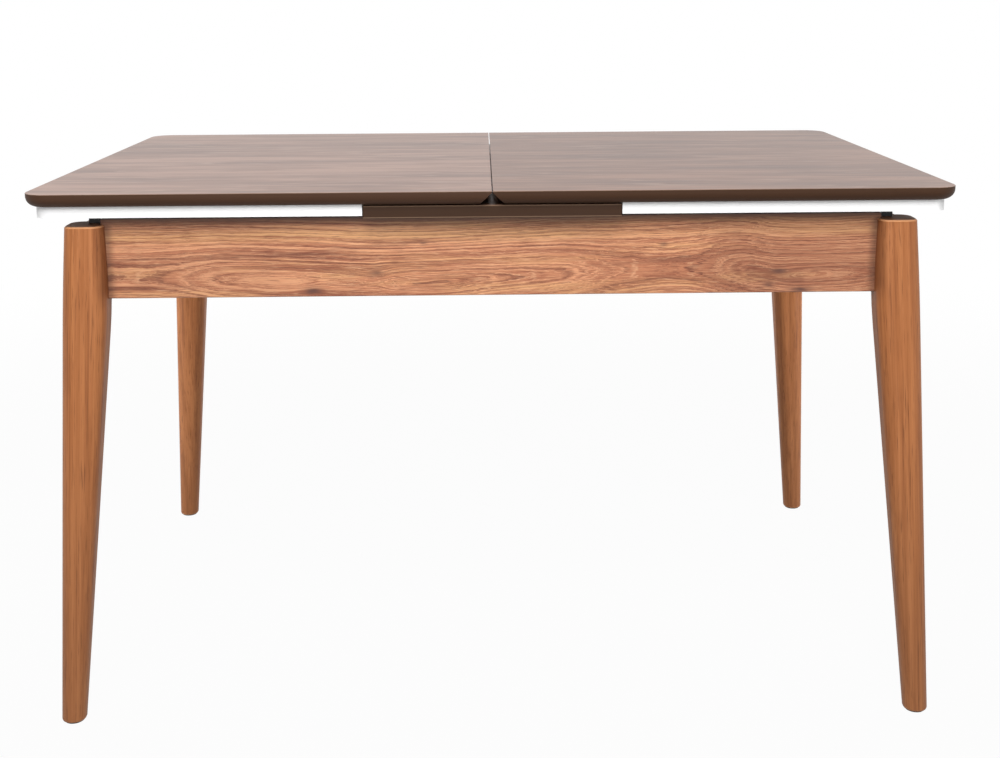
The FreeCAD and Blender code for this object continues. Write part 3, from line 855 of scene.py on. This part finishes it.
LEFT_VENEER = CathedralVeneer(
    "left_veneer",
    middle_route=((-0.34, 0.030), (0.00, 0.038), (0.34, 0.028)),
    cover_route=((-0.34, 0.024), (-0.05, 0.010), (0.14, 0.003), (0.34, 0.018)),
    knots=(Knot(-0.210, 0.066, 0.007, 0.0030, 0.50),),
    streaks=(DarkStreak(-0.250, 0.074, 0.050, 0.080, 0.0030, 0.40),),
    grain=Along.DEPTH, seed=11.3, visible_end=0.323)
RIGHT_VENEER = CathedralVeneer(
    "right_veneer",
    middle_route=((-0.34, 0.040), (0.05, 0.032), (0.34, 0.044)),
    cover_route=((-0.34, 0.003), (-0.12, 0.012), (0.12, 0.026), (0.34, 0.010)),
    knots=(Knot(0.160, 0.022, 0.008, 0.0035, 0.55),),
    streaks=(DarkStreak(-0.200, 0.084, 0.150, 0.076, 0.0030, 0.40),),
    grain=Along.DEPTH, seed=17.9, visible_end=0.323)


class End(Enum):
    """The two ends of the table, by their direction along it."""

    LEFT = -1
    RIGHT = 1


class Side(Enum):
    """The two long sides of the table, by their direction across it."""

    FRONT = -1
    BACK = 1


Seat = tuple[Vector, Vector]


@dataclass(frozen=True)
class ScrewHead:
    """A round screw head with a cross recess."""

    radius: float
    height: float
    recess: float
    recess_depth: float
    arm_waist: float = 0.45
    shoulder: float = 0.5
    crown: float = 0.80
    bury: float = 0.0003
    segments: int = 16

    def rings(self) -> list[list[Vector]]:
        """Give the head's rings of points, from its rim to the floor of its recess."""
        turns = [2 * math.pi * step / self.segments for step in range(self.segments)]
        arms = [self.recess * (self.arm_waist + (1 - self.arm_waist) * math.cos(2 * turn) ** 2)
                for turn in turns]
        plain = [(self.radius, -self.bury), (self.radius, self.height * self.shoulder),
                 (self.radius * self.crown, self.height)]
        rows = [([radius] * self.segments, height) for radius, height in plain]
        rows += [(arms, self.height), (arms, self.height - self.recess_depth)]
        return [[Vector((radius * math.cos(turn), radius * math.sin(turn), height))
                 for radius, turn in zip(radii, turns)] for radii, height in rows]

    def build(self, name: str, body: str, seats: Sequence[Seat]) -> bpy.types.Object:
        """Set a row of these heads as one piece.

        Args:
            name: The piece's name.
            body: The body that it rides on.
            seats: The place of each head and the way that it faces.

        Returns:
            The piece.
        """
        points, faces = [], []
        rings = self.rings()
        count = self.segments
        for place, facing in seats:
            turn = facing.to_track_quat("Z", "Y")
            first = len(points)
            points += [turn @ point + place for ring in rings for point in ring]
            for ring in range(len(rings) - 1):
                near, far = first + ring * count, first + (ring + 1) * count
                for step in range(count):
                    following = (step + 1) % count
                    faces.append((near + step, near + following, far + following, far + step))
            faces.append(tuple(first + (len(rings) - 1) * count + step for step in range(count)))
            faces.append(tuple(first + step for step in reversed(range(count))))
        mesh = bpy.data.meshes.new(name)
        mesh.from_pydata(points, [], faces)
        screws = bpy.data.objects.new(name, mesh)
        bpy.context.scene.collection.objects.link(screws)
        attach(screws, body)
        LOG.info("%s: %d screws", name, len(seats))
        return screws


PAN_HEAD = ScrewHead(radius=0.0036, height=0.0022, recess=0.0018, recess_depth=0.0012)
FLUSH_HEAD = ScrewHead(radius=0.0032, height=0.00025, recess=0.0016, recess_depth=0.0002)


@dataclass(frozen=True)
class SubAssembly:
    """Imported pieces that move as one, each with its finish, and the screws that hold them."""

    body: str
    own_finishes: dict[str, Finish] = field(default_factory=dict)

    def build(self) -> list[bpy.types.Object]:
        """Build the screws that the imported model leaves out, which are none unless a class says so."""
        return []

    def dress(self, shared: dict[str, bpy.types.Material], screws: Sequence[bpy.types.Object]) -> None:
        """Give each piece its material.

        Args:
            shared: Materials by the record's slot.
            screws: The pieces that the build added.
        """
        slots = {part["node"]: part["material_slot"] for part in frame["record"]["subparts"]}
        for node in frame["record"]["behaviour"]["bodies"][self.body]:
            own = self.own_finishes.get(node)
            self.coat(frame["nodes"][node], own.build() if own else shared[slots[node]])
        for piece in screws:
            self.coat(piece, shared[Finishes.ZINC_STEEL.value])

    def coat(self, piece: bpy.types.Object, material: bpy.types.Material) -> None:
        """Put one material on a piece.

        Args:
            piece: The piece.
            material: Its material.
        """
        piece.data.materials.clear()
        piece.data.materials.append(material)
        LOG.info("%s: %s wears %s", self.body, piece.name, material.name)


@dataclass(frozen=True)
class TableFrame(SubAssembly):
    """Legs, aprons, ledgers, slide channels and the gear board, which stand still."""

    body: str = "frame"
    own_finishes: dict[str, Finish] = field(default_factory=lambda: {
        "front_apron": FRONT_VENEER, "back_apron": BACK_VENEER, "left_apron": LEFT_VENEER,
        "right_apron": RIGHT_VENEER})
    ledger_shares: tuple[float, ...] = (-0.88, -0.42, 0.42, 0.88)
    bracket_sheet: float = 0.002
    tab_middle: float = 0.021
    tab_spread: float = 0.014
    gear_board_spread: float = 0.036

    def ledger_seats(self) -> list[Seat]:
        """Set out the screws that hold the ledgers to the long aprons."""
        seats = []
        for side in Side:
            low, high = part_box(side.name.lower() + "_ledger")
            inner = min(abs(low.y), abs(high.y)) * side.value
            seats += [(Vector((share * high.x, inner, (low.z + high.z) / 2)), Vector((0, -side.value, 0)))
                      for share in self.ledger_shares]
        return seats

    def bracket_seats(self) -> list[Seat]:
        """Set out the screws in the tabs of the corner brackets."""
        seats = []
        for side in Side:
            for end in End:
                low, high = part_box(f"{side.name.lower()}_{end.name.lower()}_bracket")
                inner_x, outer_x = sorted((abs(low.x), abs(high.x)))
                inner_y, outer_y = sorted((abs(low.y), abs(high.y)))
                for lift in (-self.tab_spread, self.tab_spread):
                    height = (low.z + high.z) / 2 + lift
                    on_side = Vector((end.value * (inner_x + self.tab_middle),
                                      side.value * (outer_y - self.bracket_sheet), height))
                    on_end = Vector((end.value * (outer_x - self.bracket_sheet),
                                     side.value * (inner_y + self.tab_middle), height))
                    seats += [(on_side, Vector((0, -side.value, 0))), (on_end, Vector((-end.value, 0, 0)))]
        return seats

    def gear_board_seats(self) -> list[Seat]:
        """Set out the screws that reach the gear board through the stretchers."""
        low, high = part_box("gear_board")
        seats = []
        for end in End:
            outer = max(abs(corner.x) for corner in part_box(end.name.lower() + "_stretcher"))
            seats += [(Vector((end.value * outer, spread, (low.z + high.z) / 2)), Vector((end.value, 0, 0)))
                      for spread in (-self.gear_board_spread, self.gear_board_spread)]
        return seats

    def build(self) -> list[bpy.types.Object]:
        """Build the screws of the ledgers, the brackets and the gear board."""
        return [PAN_HEAD.build("ledger_screws", self.body, self.ledger_seats()),
                PAN_HEAD.build("bracket_screws", self.body, self.bracket_seats()),
                PAN_HEAD.build("gear_board_screws", self.body, self.gear_board_seats())]


@dataclass(frozen=True)
class SlidingHalf(SubAssembly):
    """One half of the top with its spacer, runners, rack and leaf plates."""

    end: End = End.LEFT
    spacer_length_shares: tuple[float, ...] = (0.12, 0.50, 0.88)
    spacer_depth_share: float = 0.56
    rack_insets: tuple[float, ...] = (0.025, 0.075)
    plate_inset: float = 0.0225
    plate_middle: float = 0.030
    plate_spread: float = 0.015

    def below(self, x: float, y: float, z: float) -> Seat:
        """Seat a screw that faces the floor."""
        return Vector((x, y, z)), Vector((0, 0, -1))

    def box(self, piece: str) -> tuple[Vector, Vector, float]:
        """Give the corners of one of this half's pieces, and its end furthest from the table's middle."""
        low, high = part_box(f"{self.end.name.lower()}_{piece}")
        return low, high, max(abs(low.x), abs(high.x)) * self.end.value

    def spacer_seats(self) -> list[Seat]:
        """Set out the screws that hold the spacer under the top."""
        low, high, _ = self.box("spacer")
        depth = self.spacer_depth_share * high.y
        return [self.below(low.x + share * (high.x - low.x), y, low.z)
                for share in self.spacer_length_shares for y in (-depth, depth)]

    def rack_seats(self) -> list[Seat]:
        """Set out the screws that hold the rack to its packer."""
        low, high, outer = self.box("rack_block")
        under = self.box("rack")[0].z
        middle = (low.y + high.y) / 2
        return [self.below(outer - self.end.value * inset, middle, under) for inset in self.rack_insets]

    def plate_seats(self) -> list[Seat]:
        """Set out the screws of the plates that carry the leaf."""
        low, high, outer = self.box("leaf_plates")
        return [self.below(outer - self.end.value * self.plate_inset, middle + spread, low.z)
                for middle in (low.y + self.plate_middle, high.y - self.plate_middle)
                for spread in (-self.plate_spread, self.plate_spread)]

    def build(self) -> list[bpy.types.Object]:
        """Build the screws of the spacer, the rack and the leaf plates."""
        end = self.end.name.lower()
        return [PAN_HEAD.build(end + "_spacer_screws", self.body, self.spacer_seats()),
                PAN_HEAD.build(end + "_rack_screws", self.body, self.rack_seats()),
                FLUSH_HEAD.build(end + "_plate_screws", self.body, self.plate_seats())]


@dataclass(frozen=True)
class StoredLeaf(SubAssembly):
    """The loose leaf in its slot between the halves."""

    body: str = "leaf"
    own_finishes: dict[str, Finish] = field(default_factory=lambda: {"leaf": LEAF_LAMINATE})


@dataclass(frozen=True)
class DriveGear(SubAssembly):
    """The pinion that moves both halves together."""

    body: str = "pinion"


@dataclass(frozen=True)
class SoftLamp:
    """A large lamp that points at the table."""

    name: str
    place: tuple[float, float, float]
    size: float
    power: float
    target: tuple[float, float, float] = (0.0, 0.0, 0.5)
    spread: float = 180.0

    def build(self) -> None:
        """Hang the lamp."""
        light = bpy.data.lights.new(self.name, "AREA")
        light.size = self.size
        light.energy = self.power
        light.spread = math.radians(self.spread)
        lamp = bpy.data.objects.new(self.name, light)
        lamp.location = self.place
        direction = Vector(self.target) - Vector(self.place)
        lamp.rotation_euler = direction.to_track_quat("-Z", "Y").to_euler()
        bpy.context.scene.collection.objects.link(lamp)
        LOG.info("lamp %s hangs", self.name)


@dataclass
class Studio:
    """A white room: floor, world and lamps."""

    floor_reach: float = 60.0
    floor_colour: Colour = (0.32, 0.32, 0.32, 1.0)
    room_colour: Colour = (1.0, 1.0, 1.0, 1.0)
    glow: Ramp = Ramp(1.3, 3.2, 0.965, 1.0)
    ambient: float = 0.12
    lamps: tuple[SoftLamp, ...] = (
        SoftLamp("key_lamp", (-0.20, -2.6, 2.85), size=1.7, power=116.0),
        SoftLamp("fill_lamp", (-0.2, -3.4, 0.8), size=1.6, power=8.0),
        SoftLamp("top_lamp", (-1.4, 0.3, 2.6), size=2.0, power=7.0),
        SoftLamp("back_left_lamp", (-3.0, 2.1, 2.6), size=2.6, power=50.0),
        SoftLamp("back_right_lamp", (3.0, 2.1, 2.6), size=2.6, power=44.0),
        SoftLamp("front_right_lamp", (2.4, -2.2, 1.0), size=1.2, power=9.0, target=(0.6, -0.3, 0.7)),
        SoftLamp("left_lamp", (-1.9, -0.70, 0.5), size=0.5, power=1.9, target=(-0.6, 0.45, 0.35),
                 spread=50.0),
        SoftLamp("right_lamp", (1.9, -0.70, 0.5), size=0.5, power=1.9, target=(0.6, 0.45, 0.35),
                 spread=50.0),
    )

    def seen_directly(self, graph: Graph) -> Field:
        """Tell the rays that show the room from those that light the object.

        Args:
            graph: The nodes of the floor or the world.

        Returns:
            One for a ray from the camera, a mirror or glass, and none for others.
        """
        rays = graph.node("ShaderNodeLightPath", {})
        camera = Field(graph, rays.outputs["Is Camera Ray"])
        glossy = Field(graph, rays.outputs["Is Glossy Ray"])
        return camera.larger(glossy).larger(Field(graph, rays.outputs["Is Transmission Ray"]))

    def build_floor(self) -> None:
        """Lay the pale floor, which glows where it is seen and keeps faint shadows."""
        reach = self.floor_reach
        corners = [(-reach, -reach, 0), (reach, -reach, 0), (reach, reach, 0), (-reach, reach, 0)]
        mesh = bpy.data.meshes.new("floor")
        mesh.from_pydata(corners, [], [(0, 1, 2, 3)])
        floor = bpy.data.objects.new("floor", mesh)
        bpy.context.scene.collection.objects.link(floor)
        graph = Graph(bpy.data.materials.new("pale_floor"))
        matte = graph.node("ShaderNodeBsdfDiffuse", {"Color": self.floor_colour})
        bright = graph.node("ShaderNodeEmission", {"Strength": 1.0})
        x, y, _ = graph.place()
        distance = (x * x + y * y) ** 0.5
        share = self.seen_directly(graph) * distance.rise(self.glow)
        both = graph.node("ShaderNodeMixShader", {0: share, 1: matte.outputs[0], 2: bright.outputs[0]})
        graph.node("ShaderNodeOutputMaterial", {"Surface": both.outputs[0]})
        mesh.materials.append(graph.owner)

    def build_world(self) -> None:
        """Surround the table with white, which lights it less than it shows."""
        graph = Graph(bpy.data.worlds.new("white_room"))
        bpy.context.scene.world = graph.owner
        strength = self.seen_directly(graph) * (1 - self.ambient) + self.ambient
        shader = graph.node("ShaderNodeBackground", {"Strength": strength, "Color": self.room_colour})
        graph.node("ShaderNodeOutputWorld", {"Surface": shader.outputs[0]})

    def build(self) -> None:
        """Set up the whole studio."""
        self.build_floor()
        self.build_world()
        for lamp in self.lamps:
            lamp.build()
        bpy.context.scene.view_settings.view_transform = "Standard"


@dataclass(frozen=True)
class PhotoCamera:
    """The photograph's camera, worked out from the corners of the top and the feet."""

    place: tuple[float, float, float] = (-0.0144, -2.2378, 1.0469)
    yaw: float = 0.01325
    pitch: float = 0.18695
    roll: float = 0.00655
    focal_pixels: float = 1349.6
    shift_pixels: float = -130.0
    frame_pixels: float = 1000.0
    sensor: float = 36.0

    def build(self) -> None:
        """Place the camera."""
        lens = bpy.data.cameras.new("photo_camera")
        lens.sensor_width = self.sensor
        lens.lens = self.focal_pixels / self.frame_pixels * self.sensor
        lens.shift_y = self.shift_pixels / self.frame_pixels
        camera = bpy.data.objects.new("photo_camera", lens)
        turn = Matrix.Rotation(-self.yaw, 4, "Z")
        tilt = Matrix.Rotation(math.pi / 2 - self.pitch, 4, "X")
        lean = Matrix.Rotation(-self.roll, 4, "Z")
        camera.matrix_world = Matrix.Translation(self.place) @ turn @ tilt @ lean
        bpy.context.scene.collection.objects.link(camera)
        bpy.context.scene.camera = camera


def main() -> None:
    """Build and dress the table, then set up the studio and the camera."""
    logging.basicConfig(level=logging.INFO, format="%(message)s")
    shared = {slot.value: finish.build() for slot, finish in PLAIN_FINISHES.items()}
    # The right half wears the darker copy of the laminate, which is painted shade.
    halves = (SlidingHalf("left_half"), SlidingHalf("right_half", {"right_top": SHADED_RIGHT_LAMINATE}, End.RIGHT))
    for assembly in (TableFrame(), *halves, StoredLeaf(), DriveGear()):
        assembly.dress(shared, assembly.build())
    Studio().build()
    PhotoCamera().build()


if __name__ == "__main__":
    main()
